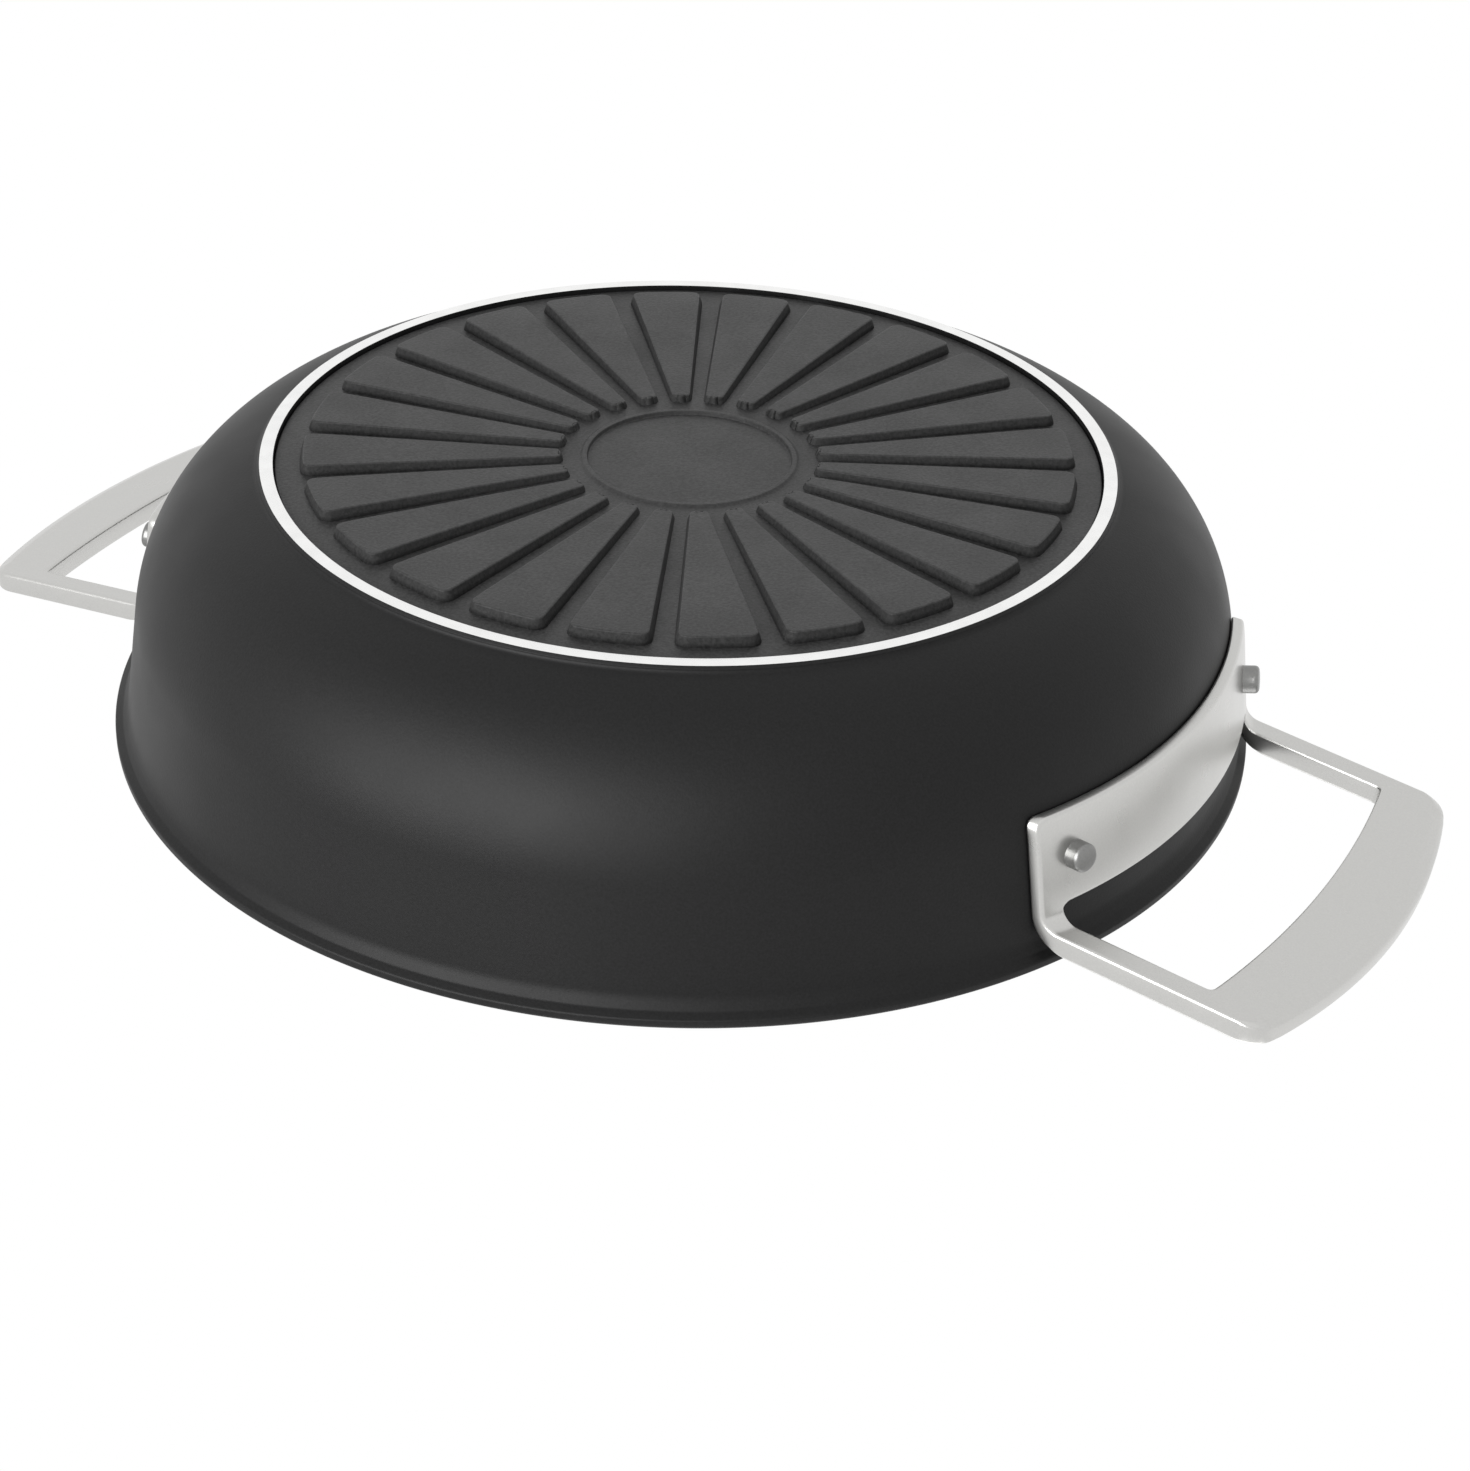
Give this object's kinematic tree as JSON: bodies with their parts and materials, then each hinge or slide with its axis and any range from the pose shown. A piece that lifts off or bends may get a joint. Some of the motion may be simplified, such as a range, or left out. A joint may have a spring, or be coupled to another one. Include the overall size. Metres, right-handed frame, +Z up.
{
  "type": "stew pan",
  "caption": "Wide round stew pan with a rolled-out lip, a padded base plate inside a bare foot ring, and riveted loop handles on both sides.",
  "frame": {"origin": "middle of the plane that the base pads stand on, under the pan's axis", "axes": "+Z up out of the pan's mouth along its axis, +X along the handles, +Y across them"},
  "size_m": [0.3954, 0.292, 0.0744],
  "materials": {
    "body_coating": "cast aluminium under a black satin coat outside and a non-stick coat inside, with a bare turned foot ring",
    "base_metal": "dark granular coat",
    "handle_steel": "cast stainless steel, satin",
    "rivet_metal": "plain, darkened"
  },
  "bodies": {
    "root": {"pan_body": "body_coating", "base_plate": "base_metal", "handle_right": "handle_steel", "handle_left": "handle_steel", "rivet_right_front": "rivet_metal", "rivet_right_rear": "rivet_metal", "rivet_left_front": "rivet_metal", "rivet_left_rear": "rivet_metal"}
  },
  "joints": []
}
